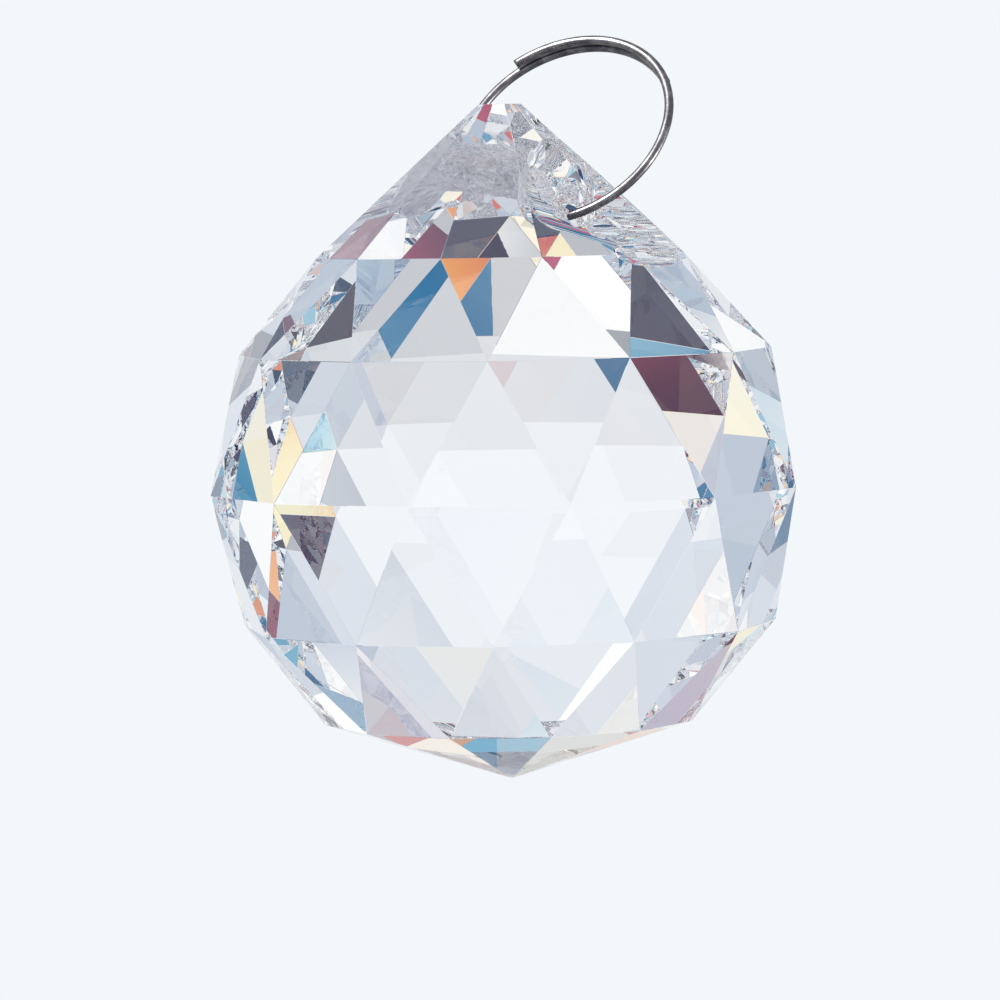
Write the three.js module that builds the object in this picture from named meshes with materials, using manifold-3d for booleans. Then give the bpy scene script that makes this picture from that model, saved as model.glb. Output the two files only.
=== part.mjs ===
// A crystal ball suncatcher: a clear faceted glass drop with a split ring through its drilled tip.
// Units are millimetres and +Z is up. The origin is where a thread or hook bears on the ring.
import * as THREE from 'three';
import { ConvexGeometry } from 'three/addons/geometries/ConvexGeometry.js';
import { mergeVertices } from 'three/addons/utils/BufferGeometryUtils.js';
import Module from 'manifold-3d';

const wasm = await Module();
wasm.setup();

// Glass ball. Every corner of its bands lies on one sphere.
const BALL_RADIUS = 15;
const SIDES = 12;
const INNER_ROW_LATITUDE = 27;
const OUTER_ROW_LATITUDE = 50.9;
const CORNER_BEARING = 11.55;
const TIP_HEIGHT = 19.15;
const TIP_FLAT_RADIUS = 1.1;
const POINT_DEPTH = 14.7;

// Cross hole near the tip. It is narrow in the middle and opens to a wide mouth on both slopes.
const BORE_HEIGHT = 14.3;
const BORE_BEARING = 56.55;
const BORE_RADIUS = 1.55;
const MOUTH_RADIUS = 3.3;
const FLARE_START = 1.8;
const FLARE_END = 3.3;
const BORE_REACH = 12;
const BORE_SIDES = 28;
const FLARE_STEPS = 6;

// Flakes that the drill broke from the lower lip of each mouth. The clock angle is where on the lip.
const FLAKES = [
  { clock: 196, length: 2.6, width: 1.3, depth: 0.5 },
  { clock: 218, length: 3.0, width: 1.0, depth: 0.45 },
  { clock: 240, length: 2.8, width: 1.1, depth: 0.55 },
  { clock: 264, length: 2.4, width: 0.9, depth: 0.4 },
];

// Split ring: one length of round spring wire, wound a little over a turn so that its ends overlap.
const WIRE_RADIUS = 0.23;
const WIRE_SIDES = 10;
const COIL_RADIUS = 5.6;
const COIL_PITCH = 0.61;
const COIL_START = 133;
const COIL_END = -324;
const COIL_STEPS = 76;
const RING_BEARING = 63.4;
const RING_LEAN = 37.4;
const RING_LOWEST = { along: 2.13, across: -0.02, above: -1.0 };

const UP = new THREE.Vector3(0, 0, 1);
const radians = THREE.MathUtils.degToRad;

// Bearings are turned from the front, -Y, towards the right, +X.
function bearing(degrees) {
  return new THREE.Vector3(Math.sin(radians(degrees)), -Math.cos(radians(degrees)), 0);
}

function row(radius, height, firstBearing) {
  return Array.from({ length: SIDES }, (_, side) =>
    bearing(firstBearing + (side * 360) / SIDES).multiplyScalar(radius).setZ(height));
}

function sphereRow(latitude, firstBearing) {
  const angle = radians(latitude);
  return row(BALL_RADIUS * Math.cos(angle), BALL_RADIUS * Math.sin(angle), firstBearing);
}

function toSolid(geometry) {
  const bare = geometry.clone();
  bare.deleteAttribute('normal');
  bare.deleteAttribute('uv');
  const welded = mergeVertices(bare, 1e-5);
  return new wasm.Manifold(new wasm.Mesh({
    numProp: 3,
    vertProperties: new Float32Array(welded.attributes.position.array),
    triVerts: new Uint32Array(welded.index.array),
  }));
}

function toGeometry(solid) {
  const mesh = solid.getMesh();
  const geometry = new THREE.BufferGeometry();
  geometry.setAttribute('position', new THREE.BufferAttribute(mesh.vertProperties, 3));
  geometry.setIndex(new THREE.BufferAttribute(mesh.triVerts, 1));
  return geometry;
}

// Rows of corners, each turned half a side from the next, so their hull is bands of triangles.
function cutBall() {
  const halfSide = 180 / SIDES;
  return toSolid(new ConvexGeometry([
    ...row(TIP_FLAT_RADIUS, TIP_HEIGHT, CORNER_BEARING),
    ...sphereRow(OUTER_ROW_LATITUDE, CORNER_BEARING),
    ...sphereRow(INNER_ROW_LATITUDE, CORNER_BEARING + halfSide),
    ...sphereRow(0, CORNER_BEARING),
    ...sphereRow(-INNER_ROW_LATITUDE, CORNER_BEARING + halfSide),
    ...sphereRow(-OUTER_ROW_LATITUDE, CORNER_BEARING),
    new THREE.Vector3(0, 0, -POINT_DEPTH),
  ]));
}

// The drill's path as a turned spindle, laid level along the bore's bearing.
function boreTool() {
  const flare = Array.from({ length: FLARE_STEPS + 1 }, (_, step) => {
    const along = step / FLARE_STEPS;
    const radius = THREE.MathUtils.lerp(BORE_RADIUS, MOUTH_RADIUS, THREE.MathUtils.smoothstep(along, 0, 1));
    return new THREE.Vector2(radius, THREE.MathUtils.lerp(FLARE_START, FLARE_END, along));
  });
  const half = [...flare, new THREE.Vector2(MOUTH_RADIUS, BORE_REACH), new THREE.Vector2(0, BORE_REACH)];
  const otherHalf = half.map((point) => new THREE.Vector2(point.x, -point.y)).reverse();
  const spindle = new THREE.LatheGeometry([...otherHalf, ...half], BORE_SIDES);
  const level = new THREE.Quaternion().setFromUnitVectors(new THREE.Vector3(0, 1, 0), bearing(BORE_BEARING));
  return toSolid(spindle.applyQuaternion(level).translate(0, 0, BORE_HEIGHT));
}

// The slope that a mouth opens on: how far out it stands at a height, and how steeply it falls.
const TOP_ROW_RADIUS = BALL_RADIUS * Math.cos(radians(OUTER_ROW_LATITUDE));
const TOP_ROW_HEIGHT = BALL_RADIUS * Math.sin(radians(OUTER_ROW_LATITUDE));
const SLOPE = Math.atan2(TIP_HEIGHT - TOP_ROW_HEIGHT, TOP_ROW_RADIUS - TIP_FLAT_RADIUS);
const FLAT_SHARE = Math.cos(Math.PI / SIDES);

function slopeRadius(height) {
  return FLAT_SHARE * (TIP_FLAT_RADIUS + (TIP_HEIGHT - height) / Math.tan(SLOPE));
}

// A place on a mouth's lip, and the bearing that the slope faces there.
function lipPlace(clock, mouthBearing) {
  const across = MOUTH_RADIUS * Math.sin(radians(clock));
  const height = BORE_HEIGHT + MOUTH_RADIUS * Math.cos(radians(clock));
  const radius = slopeRadius(height);
  const facing = mouthBearing + THREE.MathUtils.radToDeg(Math.asin(across / radius));
  return { facing, point: bearing(facing).multiplyScalar(radius).setZ(height) };
}

// One flake is a flattened ball lying along the lip, half sunk in the slope.
function flake({ clock, length, width, depth }, mouthBearing) {
  const { facing, point } = lipPlace(clock, mouthBearing);
  const ahead = lipPlace(clock + 1, mouthBearing).point;
  const normal = bearing(facing).multiplyScalar(Math.sin(SLOPE)).addScaledVector(UP, Math.cos(SLOPE));
  const across = new THREE.Vector3().crossVectors(normal, ahead.sub(point)).normalize();
  const along = new THREE.Vector3().crossVectors(across, normal);
  const place = new THREE.Matrix4().makeBasis(along, across, normal).setPosition(point);
  const ball = new THREE.IcosahedronGeometry(1, 2).scale(length / 2, width / 2, depth);
  return toSolid(ball.applyMatrix4(place));
}

function crystalBall() {
  let glass = cutBall().subtract(boreTool());
  for (const mouth of [BORE_BEARING, BORE_BEARING + 180]) {
    for (const chip of FLAKES) {
      glass = glass.subtract(flake(chip, mouth));
    }
  }
  return toGeometry(glass);
}

// The ring's own directions: level along it, up its leaning face, and square to that face.
const ringLevel = bearing(RING_BEARING);
const ringAcross = new THREE.Vector3().crossVectors(UP, ringLevel);
const ringRise = ringAcross.clone().multiplyScalar(Math.sin(radians(RING_LEAN)))
  .addScaledVector(UP, Math.cos(radians(RING_LEAN)));
const ringAxis = new THREE.Vector3().crossVectors(ringLevel, ringRise);

const boreAlong = bearing(BORE_BEARING);
const boreAcross = new THREE.Vector3().crossVectors(UP, boreAlong);
const ringLowest = new THREE.Vector3(0, 0, BORE_HEIGHT + RING_LOWEST.above)
  .addScaledVector(boreAlong, RING_LOWEST.along)
  .addScaledVector(boreAcross, RING_LOWEST.across);
const ringCentre = ringLowest.clone().addScaledVector(ringRise, COIL_RADIUS);
const hangPoint = ringCentre.clone().addScaledVector(ringRise, COIL_RADIUS - WIRE_RADIUS);

class RingCoil extends THREE.Curve {
  getPoint(part, target = new THREE.Vector3()) {
    const angle = radians(THREE.MathUtils.lerp(COIL_START, COIL_END, part));
    const middle = radians((COIL_START + COIL_END) / 2);
    return target.copy(ringCentre)
      .addScaledVector(ringLevel, COIL_RADIUS * Math.cos(angle))
      .addScaledVector(ringRise, COIL_RADIUS * Math.sin(angle))
      .addScaledVector(ringAxis, (COIL_PITCH * (angle - middle)) / (2 * Math.PI));
  }
}

function splitRing() {
  const corners = Array.from({ length: WIRE_SIDES }, (_, side) => {
    const angle = (side * 2 * Math.PI) / WIRE_SIDES;
    return new THREE.Vector2(WIRE_RADIUS * Math.cos(angle), WIRE_RADIUS * Math.sin(angle));
  });
  return new THREE.ExtrudeGeometry(new THREE.Shape(corners), {
    steps: COIL_STEPS,
    extrudePath: new RingCoil(),
  });
}

function piece(name, geometry, material) {
  const mesh = new THREE.Mesh(geometry, material);
  mesh.name = name;
  return mesh;
}

const clearCrystal = new THREE.MeshStandardMaterial({ color: 0xe6eff6, roughness: 0.02, metalness: 0 });
const darkSteel = new THREE.MeshStandardMaterial({ color: 0x6b6767, roughness: 0.25, metalness: 1 });

const suncatcher = new THREE.Group();
suncatcher.position.copy(hangPoint).negate();
suncatcher.add(
  piece('crystal_ball', crystalBall(), clearCrystal),
  piece('split_ring', splitRing(), darkSteel),
);

export default suncatcher;
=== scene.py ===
"""A crystal ball suncatcher: a clear faceted glass drop, and the split ring through its drilled tip."""

import math
import random

import bmesh
import bpy
from mathutils import Matrix, Vector, noise


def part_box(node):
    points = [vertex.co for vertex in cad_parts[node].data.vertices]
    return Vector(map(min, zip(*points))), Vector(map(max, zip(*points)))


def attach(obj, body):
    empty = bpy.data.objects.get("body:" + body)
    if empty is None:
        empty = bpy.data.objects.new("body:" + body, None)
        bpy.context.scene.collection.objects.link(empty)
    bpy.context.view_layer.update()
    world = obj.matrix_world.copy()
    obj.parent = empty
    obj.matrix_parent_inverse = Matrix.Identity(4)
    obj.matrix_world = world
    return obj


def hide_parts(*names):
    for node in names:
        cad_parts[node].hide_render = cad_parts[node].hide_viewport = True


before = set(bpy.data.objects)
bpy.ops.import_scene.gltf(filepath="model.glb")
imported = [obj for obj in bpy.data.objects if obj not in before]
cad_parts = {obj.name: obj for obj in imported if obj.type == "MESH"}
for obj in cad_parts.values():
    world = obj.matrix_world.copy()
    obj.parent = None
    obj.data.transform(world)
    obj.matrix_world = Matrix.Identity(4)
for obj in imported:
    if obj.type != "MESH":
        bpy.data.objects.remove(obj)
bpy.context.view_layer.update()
scene = bpy.context.scene


# Studio. The drop hangs in front of a pale, softly lit backdrop over a matt white table. The lens is long,
# and a hair above level with the drop.
MM = 0.001
ball_low, ball_high = (Vector(corner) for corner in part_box("crystal_ball"))
POINT_DEPTH = 14.7 * MM
ball_centre = Vector((
    (ball_low.x + ball_high.x) / 2,
    (ball_low.y + ball_high.y) / 2,
    ball_low.z + POINT_DEPTH,
))

VIEW_DISTANCE = 246.7 * MM
VIEW_TILT = math.radians(3.59)
VIEW_ROLL = math.radians(-1.05)
LENS = 177.0
TABLE_DROP = 150 * MM
TABLE_RADIUS = 420 * MM

camera_data = bpy.data.cameras.new("long_lens")
camera_data.lens = LENS
camera_data.sensor_width = 36
camera_data.shift_x = -0.00683
camera_data.shift_y = -0.01312
camera_data.clip_start = 0.01
camera_data.clip_end = 10
camera = bpy.data.objects.new("long_lens", camera_data)
scene.collection.objects.link(camera)
behind = Vector((0, -math.cos(VIEW_TILT), math.sin(VIEW_TILT)))
camera.matrix_world = (
    Matrix.Translation(ball_centre + VIEW_DISTANCE * behind)
    @ Matrix.Rotation(math.pi / 2 - VIEW_TILT, 4, "X")
    @ Matrix.Rotation(VIEW_ROLL, 4, "Z")
)
scene.camera = camera

scene.view_settings.view_transform = "Standard"
scene.cycles.use_denoising = True
scene.cycles.max_bounces = 40
scene.cycles.transmission_bounces = 40
scene.cycles.glossy_bounces = 40


def linear(hex_colour):
    """An sRGB hex colour as linear RGBA."""
    channels = (int(hex_colour[i:i + 2], 16) / 255 for i in (1, 3, 5))
    return (*(c / 12.92 if c <= 0.04045 else ((c + 0.055) / 1.055) ** 2.4 for c in channels), 1)


def add(tree, kind, settings=None, stops=(), **inputs):
    """Adds a node. Settings are its properties, stops a ramp's positions and colours, and inputs are values,
    or sockets to link from. An input is given by its name, or by _ and its number."""
    node = tree.nodes.new(kind)
    for name, value in (settings or {}).items():
        setattr(node, name, value)
    if stops:
        marks = node.color_ramp.elements
        while len(marks) < len(stops):
            marks.new(1)
        for mark, (position, colour) in zip(marks, stops):
            mark.position = position
            mark.color = linear(colour)
    for name, value in inputs.items():
        socket = node.inputs[int(name[1:])] if name[0] == "_" else node.inputs[name.replace("_", " ")]
        if isinstance(value, bpy.types.NodeSocket):
            tree.links.new(value, socket)
        else:
            socket.default_value = value
    return node


def new_material(name):
    """A material whose node tree is emptied of all nodes, and that node tree."""
    material = bpy.data.materials.new(name)
    material.use_nodes = True
    material.node_tree.nodes.clear()
    return material, material.node_tree


def new_piece(name, mesh, *materials):
    """Turns a finished bmesh into an object at the origin."""
    data = bpy.data.meshes.new(name)
    mesh.to_mesh(data)
    mesh.free()
    for material in materials:
        data.materials.append(material)
    piece = bpy.data.objects.new(name, data)
    scene.collection.objects.link(piece)
    return piece


world = bpy.data.worlds.new("light_tent")
scene.world = world
world.use_nodes = True
tree = world.node_tree
tree.nodes.clear()
direction = add(tree, "ShaderNodeTexCoord").outputs["Generated"]
axes = add(tree, "ShaderNodeSeparateXYZ", Vector=direction).outputs

# The tent is white at mid height, grey towards the table and a little dimmer towards the roof, and its four
# upright corners are in soft shade.
TENT_CORNERS = 4.0
CORNER_SHADE = 0.9
steepness = add(tree, "ShaderNodeMath", {"operation": "ARCSINE"}, _0=axes["Z"]).outputs[0]
height = add(
    tree, "ShaderNodeMath", {"operation": "MULTIPLY_ADD"}, _0=steepness, _1=1 / math.pi, _2=0.5,
).outputs[0]
panel = add(
    tree, "ShaderNodeValToRGB", stops=((0.1, "#70707c"), (0.5, "#f4f8fc"), (0.9, "#b0b8c8")), Fac=height,
).outputs["Color"]
round_about = add(tree, "ShaderNodeMath", {"operation": "ARCTAN2"}, _0=axes["X"], _1=axes["Y"]).outputs[0]
turns = add(tree, "ShaderNodeMath", {"operation": "MULTIPLY"}, _0=round_about, _1=TENT_CORNERS).outputs[0]
swing = add(tree, "ShaderNodeMath", {"operation": "COSINE"}, _0=turns).outputs[0]
corner = add(
    tree, "ShaderNodeMapRange", {"interpolation_type": "SMOOTHSTEP"},
    Value=swing, From_Min=0.4, From_Max=-1.0, To_Max=CORNER_SHADE,
).outputs[0]
tent = add(
    tree, "ShaderNodeMix", {"data_type": "RGBA"}, _0=corner, _6=panel, _7=linear("#b4c0d1"),
).outputs[2]

# All of the tent but the part straight behind the drop is a patchwork of light and dark, with a run of
# colour across each patch, as a prism gives it.
PATCH_SCALE = 6.0
PATCH_RUN = 0.16
patchwork = add(tree, "ShaderNodeTexVoronoi", Vector=direction, Scale=PATCH_SCALE).outputs
drawn = add(tree, "ShaderNodeSeparateColor", Color=patchwork["Color"]).outputs["Red"]
pick = add(
    tree, "ShaderNodeMath", {"operation": "MULTIPLY_ADD"}, _0=patchwork["Distance"], _1=PATCH_RUN, _2=drawn,
).outputs[0]
spectrum = add(tree, "ShaderNodeValToRGB", Fac=pick, stops=(
    (0.56, "#ffffff"), (0.64, "#fbf0c8"), (0.67, "#eea468"), (0.69, "#c65a78"), (0.72, "#4a3450"),
    (0.79, "#1e2c4c"), (0.86, "#1c6c9c"), (0.92, "#9cd4e8"), (0.96, "#ffffff"),
)).outputs["Color"]
aside = add(
    tree, "ShaderNodeMapRange", {"interpolation_type": "SMOOTHSTEP"},
    Value=axes["Y"], From_Min=0.95, From_Max=0.85,
).outputs[0]
chosen = add(tree, "ShaderNodeMapRange", Value=pick, From_Min=0.55, From_Max=0.57).outputs[0]
coloured = add(tree, "ShaderNodeMath", {"operation": "MULTIPLY"}, _0=aside, _1=chosen).outputs[0]
tent = add(
    tree, "ShaderNodeMix", {"data_type": "RGBA"}, _0=coloured, _6=tent, _7=spectrum,
).outputs[2]

backdrop = add(tree, "ShaderNodeBackground", Color=linear("#f3f7fb"))
lighting = add(tree, "ShaderNodeBackground", Color=tent, Strength=1.03)
seen = add(
    tree, "ShaderNodeMixShader", _0=add(tree, "ShaderNodeLightPath").outputs["Is Camera Ray"],
    _1=lighting.outputs[0], _2=backdrop.outputs[0],
)
add(tree, "ShaderNodeOutputWorld", Surface=seen.outputs[0])

mesh = bmesh.new()
bmesh.ops.create_circle(
    mesh, cap_ends=True, segments=96, radius=TABLE_RADIUS,
    matrix=Matrix.Translation((ball_centre.x, ball_centre.y, ball_centre.z - TABLE_DROP)),
)
matt_white, tree = new_material("matt_white_laminate")
surface = add(tree, "ShaderNodeBsdfPrincipled", Base_Color=linear("#f2f4f6"), Roughness=0.8)
add(tree, "ShaderNodeOutputMaterial", Surface=surface.outputs[0])
table = new_piece("table", mesh, matt_white)
table.visible_transmission = False
table.visible_glossy = False


# Crystal ball. Optical crystal glass, ground and polished in six bands of flats, with a hole drilled across
# its tip. The drill left the narrow part of the hole ground and broke flakes from the lip of each mouth.
BALL_RADIUS = 15 * MM
SIDES = 12
INNER_ROW_LATITUDE = 27
OUTER_ROW_LATITUDE = 50.9
CORNER_BEARING = 11.55
HALF_SIDE = 180 / SIDES
TIP_HEIGHT = 19.15 * MM
TIP_FLAT_RADIUS = 1.1 * MM
EDGE_BREAK = 0.012 * MM

BORE_HEIGHT = 14.3 * MM
BORE_BEARING = 56.55
BORE_RADIUS = 1.55 * MM
MOUTH_RADIUS = 3.3 * MM
FLARE_START = 1.8 * MM
FLARE_END = 3.3 * MM
BORE_REACH = 12 * MM
BORE_STEPS = 96
BORE_SIDES = 96
# The hole is ground from GROUND_BACK behind its middle to GROUND_FRONT before it.
GROUND_BACK = 3.2 * MM
GROUND_FRONT = 1.9 * MM
GROUND_DEPTH = 0.2 * MM
GROUND_GRIT = 0.3 * MM
RIPPLE_DEPTH = 0.004 * MM
RIPPLE_LENGTH = 1.4 * MM

FLAKES_PER_MOUTH = 10
FLAKE_LENGTH = (1.0 * MM, 2.6 * MM)
FLAKE_WIDTH = (0.5 * MM, 1.2 * MM)
FLAKE_DEPTH = (0.18 * MM, 0.5 * MM)
FLAKE_TILT = 0.3
FLAKE_SWING = 0.5
FLAKE_SHAKE = 0.06 * MM
FLAKE_CLOCK = math.pi + 0.85
FLAKE_CLOCK_SPREAD = 0.5
LIP_SPREAD = 0.35 * MM


def corner_row(mesh, radius, height, bearing):
    """One row of the ball's corners."""
    bmesh.ops.create_circle(
        mesh, segments=SIDES, radius=radius,
        matrix=Matrix.Translation((0, 0, height)) @ Matrix.Rotation(math.radians(bearing), 4, "Z"),
    )


def sphere_row(mesh, latitude, bearing):
    """One row of corners that lie on the ball's sphere."""
    angle = math.radians(latitude)
    corner_row(mesh, BALL_RADIUS * math.cos(angle), BALL_RADIUS * math.sin(angle), bearing)


def cut_ball():
    """The whole ball before drilling: the hull of its rows of corners, with its edges just broken."""
    mesh = bmesh.new()
    corner_row(mesh, TIP_FLAT_RADIUS, TIP_HEIGHT, CORNER_BEARING)
    for latitude in (OUTER_ROW_LATITUDE, 0, -OUTER_ROW_LATITUDE):
        sphere_row(mesh, latitude, CORNER_BEARING)
    for latitude in (INNER_ROW_LATITUDE, -INNER_ROW_LATITUDE):
        sphere_row(mesh, latitude, CORNER_BEARING + HALF_SIDE)
    bmesh.ops.create_vert(mesh, co=(0, 0, -POINT_DEPTH))
    hull = bmesh.ops.convex_hull(mesh, input=mesh.verts)
    spare = [item for item in hull["geom_unused"] + hull["geom_interior"] if item.is_valid]
    bmesh.ops.delete(mesh, geom=[v for v in spare if isinstance(v, bmesh.types.BMVert)], context="VERTS")
    loose = [edge for edge in mesh.edges if not edge.link_faces]
    bmesh.ops.delete(mesh, geom=loose, context="EDGES")
    bmesh.ops.dissolve_limit(mesh, angle_limit=math.radians(1), verts=mesh.verts, edges=mesh.edges)
    bmesh.ops.bevel(
        mesh, geom=list(mesh.edges), offset=EDGE_BREAK, offset_type="OFFSET",
        affect="EDGES", segments=1, profile=0.5, material=-1,
    )
    bmesh.ops.recalc_face_normals(mesh, faces=mesh.faces)
    return mesh


def drill():
    """The drill's path: a spindle, gritty in its narrow middle and smooth in its wide ends. Its +Z end is
    laid towards the front mouth."""
    mesh = bmesh.new()
    steps = [BORE_REACH * (2 * step / BORE_STEPS - 1) for step in range(BORE_STEPS + 1)]
    profile = []
    for along in steps:
        share = min(max((abs(along) - FLARE_START) / (FLARE_END - FLARE_START), 0), 1)
        radius = BORE_RADIUS + (MOUTH_RADIUS - BORE_RADIUS) * share * share * (3 - 2 * share)
        profile.append(mesh.verts.new((radius, 0, along)))
    ends = [mesh.verts.new((0, 0, -BORE_REACH)), mesh.verts.new((0, 0, BORE_REACH))]
    line = [ends[0], *profile, ends[1]]
    edges = [mesh.edges.new(pair) for pair in zip(line, line[1:])]
    bmesh.ops.spin(
        mesh, geom=line + edges, cent=(0, 0, 0), axis=(0, 0, 1),
        angle=2 * math.pi, steps=BORE_SIDES, use_merge=True,
    )
    bmesh.ops.remove_doubles(mesh, verts=mesh.verts, dist=0.001 * MM)
    bmesh.ops.recalc_face_normals(mesh, faces=mesh.faces)
    for vert in mesh.verts:
        if -GROUND_BACK < vert.co.z < GROUND_FRONT:
            grit = noise.noise(vert.co / GROUND_GRIT) + 0.6 * noise.noise(vert.co / GROUND_GRIT * 2.7)
            vert.co += vert.normal * grit * GROUND_DEPTH
        elif abs(vert.co.z) < BORE_REACH:
            vert.co += vert.normal * noise.noise(vert.co / RIPPLE_LENGTH) * RIPPLE_DEPTH
    for face in mesh.faces:
        is_ground = -GROUND_BACK < face.calc_center_median().z < GROUND_FRONT
        face.material_index = int(is_ground)
        face.smooth = not is_ground
    bearing = Matrix.Rotation(math.radians(BORE_BEARING), 4, "Z")
    level = Matrix.Rotation(math.pi / 2, 4, "X")
    bmesh.ops.transform(
        mesh, verts=mesh.verts, matrix=Matrix.Translation((0, 0, BORE_HEIGHT)) @ bearing @ level,
    )
    return mesh


def lip_place(clock, bearing):
    """A point on a mouth's lip and the way the slope faces there. Clock 0 is the top of the lip."""
    slope_run = BALL_RADIUS * math.cos(math.radians(OUTER_ROW_LATITUDE)) - TIP_FLAT_RADIUS
    slope_fall = TIP_HEIGHT - BALL_RADIUS * math.sin(math.radians(OUTER_ROW_LATITUDE))
    height = BORE_HEIGHT + MOUTH_RADIUS * math.cos(clock)
    flat_share = math.cos(math.radians(HALF_SIDE))
    out = flat_share * (TIP_FLAT_RADIUS + (TIP_HEIGHT - height) * slope_run / slope_fall)
    facing = math.radians(bearing) + math.asin(MOUTH_RADIUS * math.sin(clock) / out)
    outward = Vector((math.sin(facing), -math.cos(facing), 0))
    normal = (outward * slope_fall + Vector((0, 0, slope_run))).normalized()
    return outward * out + Vector((0, 0, height)), normal


def flakes(bearing, dice):
    """The shells that broke from one mouth's lip: flattened lumps, mostly along its lower side."""
    mesh = bmesh.new()
    for _ in range(FLAKES_PER_MOUTH):
        clock = FLAKE_CLOCK + dice.gauss(0, FLAKE_CLOCK_SPREAD)
        point, normal = lip_place(clock, bearing)
        ahead = lip_place(clock + 0.02, bearing)[0] - point
        across = normal.cross(ahead).normalized()
        along = across.cross(normal)
        turn = Matrix((along, across, normal)).transposed().to_4x4()
        size = Matrix.Diagonal((
            dice.uniform(*FLAKE_LENGTH) / 2, dice.uniform(*FLAKE_WIDTH) / 2, dice.uniform(*FLAKE_DEPTH), 1,
        ))
        aside = Matrix.Translation(point + across * dice.gauss(0, LIP_SPREAD))
        tilt = Matrix.Rotation(dice.uniform(-FLAKE_TILT, FLAKE_TILT), 4, "X")
        lean = tilt @ Matrix.Rotation(dice.uniform(-FLAKE_SWING, FLAKE_SWING), 4, "Z")
        lump = bmesh.ops.create_icosphere(mesh, subdivisions=2, radius=1, matrix=aside @ turn @ lean @ size)
        for vert in lump["verts"]:
            places = [vert.co / FLAKE_DEPTH[0] + Vector((7 * axis, 0, 0)) for axis in range(3)]
            vert.co += Vector([noise.noise(place) for place in places]) * FLAKE_SHAKE
    return mesh


# The polished flats are clear to the bottom, with plain values on the shader. The last felt wheel left lines
# in them about 0.06 mm apart, far too shallow to feel and all but too shallow to see.
polished_crystal, tree = new_material("polished_crystal_glass")
place = add(tree, "ShaderNodeTexCoord").outputs["Object"]
wheel_lines = add(
    tree, "ShaderNodeMapping", Vector=place, Rotation=(0.5, 0.7, 0.3), Scale=(16000, 700, 700),
).outputs[0]
lines = add(tree, "ShaderNodeTexNoise", Vector=wheel_lines, Scale=1.0, Detail=1.0).outputs["Fac"]
lap = add(tree, "ShaderNodeBump", Strength=0.001, Distance=0.01 * MM, Height=lines).outputs[0]
surface = add(
    tree, "ShaderNodeBsdfPrincipled", Base_Color=(1, 1, 1, 1), Roughness=0.0, IOR=1.52,
    Transmission_Weight=1.0, Normal=lap,
)
add(tree, "ShaderNodeOutputMaterial", Surface=surface.outputs[0])

# The drill's diamond grit, about 0.1 mm, leaves the hole ground: mostly clear pits, with some white scatter.
ground_crystal, tree = new_material("ground_crystal_glass")
place = add(tree, "ShaderNodeTexCoord").outputs["Object"]
grit = add(tree, "ShaderNodeTexNoise", Vector=place, Scale=1 / (0.12 * MM), Detail=3.0).outputs["Fac"]
cloud = add(tree, "ShaderNodeTexNoise", Vector=place, Scale=1 / (0.9 * MM)).outputs["Fac"]
tint = add(
    tree, "ShaderNodeValToRGB", Fac=cloud,
    stops=((0.3, "#ffffff"), (0.48, "#f4f0fa"), (0.56, "#ffffff"), (0.7, "#f6e2ea")),
).outputs["Color"]
pits = add(tree, "ShaderNodeBump", Strength=0.9, Distance=0.08 * MM, Height=grit).outputs[0]
surface = add(
    tree, "ShaderNodeBsdfPrincipled", Base_Color=tint, Roughness=0.12, IOR=1.52,
    Transmission_Weight=0.85, Normal=pits,
)
add(tree, "ShaderNodeOutputMaterial", Surface=surface.outputs[0])


def subtract(piece, tool):
    """Cuts one object with another and keeps the result as the first one's mesh."""
    cut = piece.modifiers.new("cut", "BOOLEAN")
    cut.operation = "DIFFERENCE"
    cut.solver = "EXACT"
    cut.use_self = True
    cut.object = tool
    bpy.context.view_layer.update()
    result = bpy.data.meshes.new_from_object(piece.evaluated_get(bpy.context.evaluated_depsgraph_get()))
    piece.modifiers.clear()
    piece.data = result
    bpy.data.objects.remove(tool)


crystal_ball = new_piece("cut_crystal_ball", cut_ball(), polished_crystal, ground_crystal)
subtract(crystal_ball, new_piece("drill", drill(), polished_crystal, ground_crystal))
for seed, mouth in enumerate((BORE_BEARING, BORE_BEARING + 180)):
    subtract(crystal_ball, new_piece("flakes", flakes(mouth, random.Random(seed)), polished_crystal))
crystal_ball.data.transform(Matrix.Translation(ball_centre))
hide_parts("crystal_ball")
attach(crystal_ball, "root")


# Split ring. One length of round steel spring wire, wound a turn and a quarter, so that its ends lie side
# by side. It has been darkened, and handling has rubbed it bright in streaks.
WIRE_RADIUS = 0.23 * MM
COIL_RADIUS = 5.6 * MM
COIL_PITCH = 0.61 * MM
COIL_START = math.radians(133)
COIL_END = math.radians(-324)
COIL_STEPS = 220
WIRE_SIDES = 24
RING_BEARING = math.radians(63.4)
RING_LEAN = math.radians(37.4)


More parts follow.
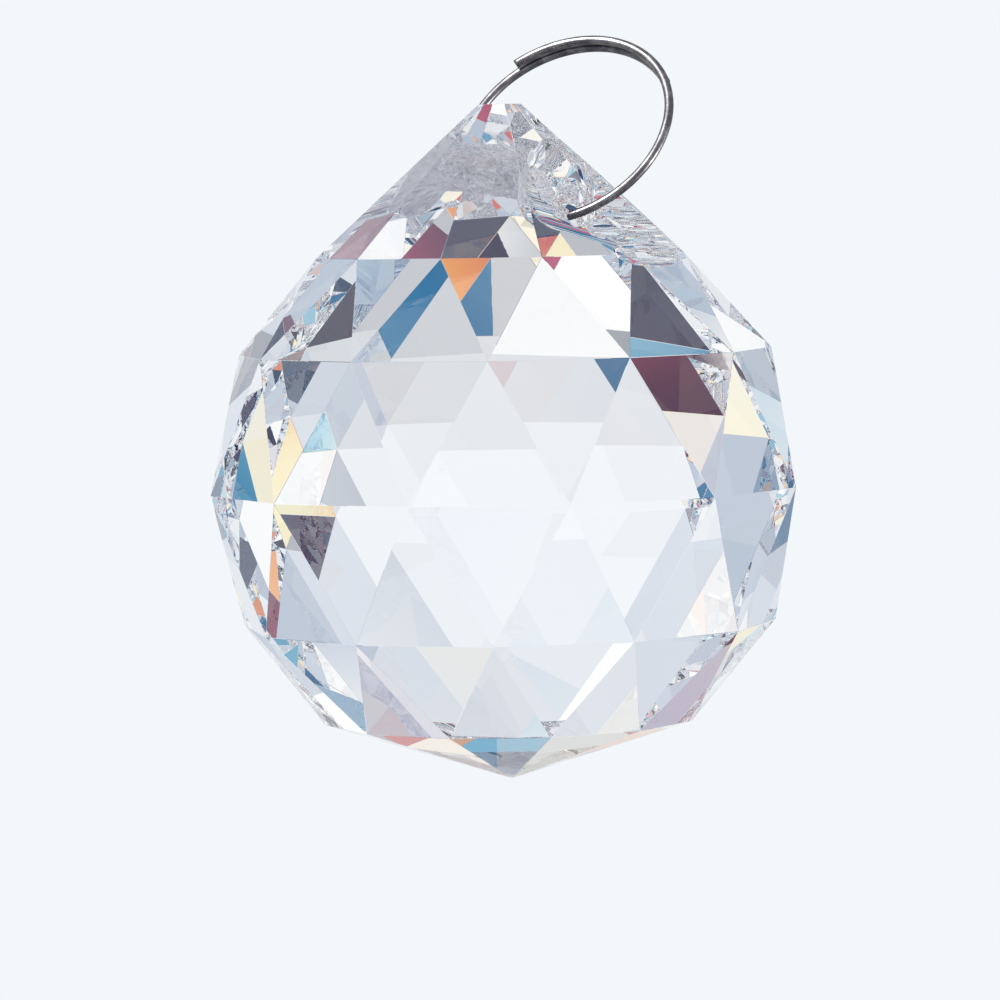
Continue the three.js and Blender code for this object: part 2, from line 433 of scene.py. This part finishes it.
def split_ring_mesh():
    """The wire's round section, swept round the coil and turned into its lean."""
    mesh = bmesh.new()
    turn = COIL_END - COIL_START
    climb = turn * COIL_PITCH / (2 * math.pi)
    start = Matrix.Rotation(COIL_START, 4, "Z") @ Matrix.Translation((COIL_RADIUS, 0, -climb / 2))
    bmesh.ops.create_circle(
        mesh, cap_ends=True, segments=WIRE_SIDES, radius=WIRE_RADIUS,
        matrix=start @ Matrix.Rotation(math.pi / 2, 4, "X"),
    )
    bmesh.ops.spin(
        mesh, geom=mesh.verts[:] + mesh.edges[:] + mesh.faces[:], cent=(0, 0, 0), axis=(0, 0, 1),
        dvec=(0, 0, climb / COIL_STEPS), angle=turn, steps=COIL_STEPS, use_merge=False,
    )
    bmesh.ops.recalc_face_normals(mesh, faces=mesh.faces)
    level = Vector((math.sin(RING_BEARING), -math.cos(RING_BEARING), 0))
    across = Vector((0, 0, 1)).cross(level)
    rise = across * math.sin(RING_LEAN) + Vector((0, 0, math.cos(RING_LEAN)))
    lean = Matrix((level, rise, level.cross(rise))).transposed().to_4x4()
    centre = -rise * (COIL_RADIUS - WIRE_RADIUS)
    bmesh.ops.transform(mesh, verts=mesh.verts, matrix=Matrix.Translation(centre) @ lean)
    for face in mesh.faces:
        face.smooth = len(face.verts) == 4
    return mesh


# Drawn spring wire, darkened to a mid grey, and lighter and glossier where handling has worn it.
dark_steel, tree = new_material("darkened_spring_steel")
place = add(tree, "ShaderNodeTexCoord").outputs["Object"]
worn = add(
    tree, "ShaderNodeTexNoise", Vector=place, Scale=1 / (0.8 * MM), Detail=4.0, Roughness=0.65,
).outputs["Fac"]
tone = add(
    tree, "ShaderNodeValToRGB", Fac=worn,
    stops=((0.36, "#5c5a5c"), (0.5, "#6e6c6e"), (0.6, "#858284"), (0.72, "#9c999b")),
).outputs["Color"]
drawn = add(tree, "ShaderNodeTexNoise", Vector=place, Scale=1 / (0.07 * MM), Detail=2.0).outputs["Fac"]
gloss = add(tree, "ShaderNodeMapRange", Value=worn, To_Min=0.42, To_Max=0.3).outputs[0]
lines = add(tree, "ShaderNodeBump", Strength=0.01, Distance=0.01 * MM, Height=drawn).outputs[0]
surface = add(
    tree, "ShaderNodeBsdfPrincipled", Base_Color=tone, Metallic=1.0, Roughness=gloss, Normal=lines,
)
add(tree, "ShaderNodeOutputMaterial", Surface=surface.outputs[0])

split_ring = new_piece("wire_split_ring", split_ring_mesh(), dark_steel)
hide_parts("split_ring")
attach(split_ring, "root")


# A softbox up to the left, and a smaller one low on the right, glint in the steel. Both are flagged off the
# crystal, whose broad facets would only glare. Each row is a name, a place from the ball's centre, the
# lamp's side and its power in watts.
lit_by_softboxes = bpy.data.collections.new("lit_by_softboxes")
lit_by_softboxes.objects.link(split_ring)
SOFTBOXES = (
    ("upper_softbox", (-260 * MM, -160 * MM, 330 * MM), 150 * MM, 5.0),
    ("lower_softbox", (300 * MM, -60 * MM, -30 * MM), 70 * MM, 0.6),
)
for name, offset, side, power in SOFTBOXES:
    light = bpy.data.lights.new(name, "AREA")
    light.size = side
    light.energy = power
    softbox = bpy.data.objects.new(name, light)
    away = Vector(offset)
    softbox.matrix_world = (
        Matrix.Translation(ball_centre + away) @ away.to_track_quat("Z", "Y").to_matrix().to_4x4()
    )
    softbox.visible_camera = False
    softbox.visible_transmission = False
    softbox.light_linking.receiver_collection = lit_by_softboxes
    scene.collection.objects.link(softbox)
